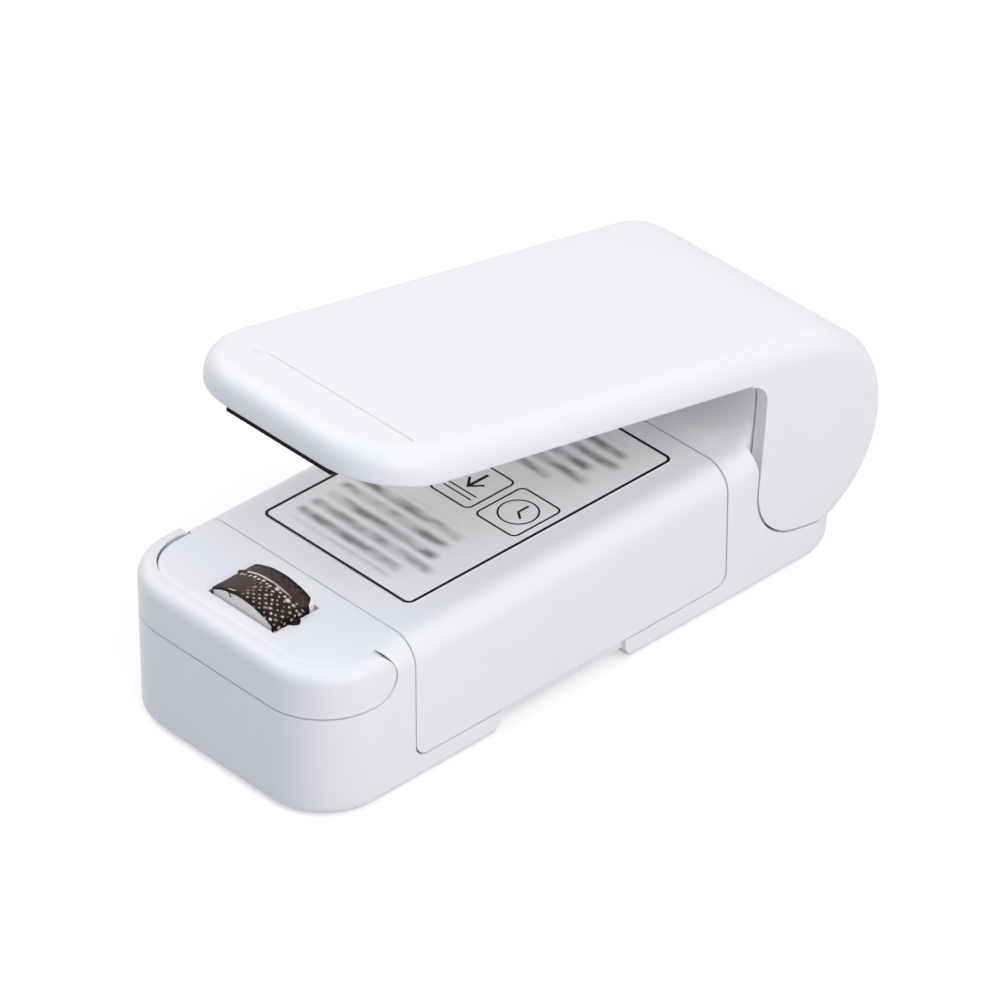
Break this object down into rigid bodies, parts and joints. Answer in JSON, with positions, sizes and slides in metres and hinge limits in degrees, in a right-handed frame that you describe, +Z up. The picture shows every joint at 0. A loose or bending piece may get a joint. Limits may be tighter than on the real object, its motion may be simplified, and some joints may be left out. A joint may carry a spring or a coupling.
{
  "type": "mini bag sealer",
  "caption": "Hand-held battery heat sealer: a sprung lever on a rear hinge presses its pad onto an arched cloth-covered heater in the nose; the battery cover slides off sideways.",
  "frame": {"origin": "on the table under the middle of the part", "axes": "+Z up, -Y towards the nose with the heater, +X towards the side where the battery cover comes off"},
  "size_m": [0.0402, 0.102, 0.0501],
  "materials": {
    "white_shell": "semi-matt white",
    "inner_shell": "matt light grey",
    "steel": "plain",
    "brass": "plain",
    "dark_plastic": "matt",
    "pad": "matt black",
    "heater_body": "matt off-white",
    "heating_wire": "dull, slightly pink",
    "cloth": "dark brown coated weave",
    "label": "printed, pale grey",
    "cell": "plain green jacket",
    "red_lead": "insulation",
    "black_lead": "insulation"
  },
  "bodies": {
    "base": {"base_shell": "white_shell", "nose_hatch": "inner_shell", "hatch_screws": "steel", "cell_left": "cell", "cell_right": "cell", "front_contacts": "steel", "rear_bridge": "steel", "cell_springs": "steel", "hinge_pin": "steel", "return_spring": "steel", "contact_carrier": "dark_plastic", "switch_leaf": "brass", "switch_rivet": "brass", "terminal_fingers": "brass", "wire_red": "red_lead", "wire_black": "black_lead", "heater_springs": "steel", "guard_pins": "steel"},
    "cover": {"battery_cover": "white_shell", "instruction_label": "label"},
    "guard": {"guard_bail": "white_shell"},
    "lever": {"lever_shell": "white_shell", "lever_liner": "inner_shell", "liner_screws": "steel", "pad_holder": "dark_plastic", "press_pad": "pad"},
    "heater": {"heater_carriage": "heater_body", "heating_wire": "heating_wire", "release_cloth": "cloth", "cloth_clamps": "heater_body", "heater_terminals": "brass"}
  },
  "joints": [
    {"name": "lever_hinge", "type": "hinge", "parent": "base", "child": "lever", "pos_m": [0, 0.0347, 0.019], "axis": [1, 0, 0], "range_deg": [0, 15], "stiffness_Nm_per_rad": 0.25, "springref_deg": -17.19, "deforming": ["return_spring"]},
    {"name": "guard_swing", "type": "hinge", "parent": "base", "child": "guard", "pos_m": [0, -0.0411, 0.0189], "axis": [-1, 0, 0], "range_deg": [0, 35]},
    {"name": "cover_slide", "type": "slide", "parent": "base", "child": "cover", "axis": [1, 0, 0], "range_m": [0, 0.045]},
    {"name": "heater_press", "type": "slide", "parent": "base", "child": "heater", "axis": [0, 0, -1], "range_m": [0, 0.0012], "stiffness_N_per_m": 300, "springref_m": -0.003, "deforming": ["heater_springs", "switch_leaf"]}
  ]
}
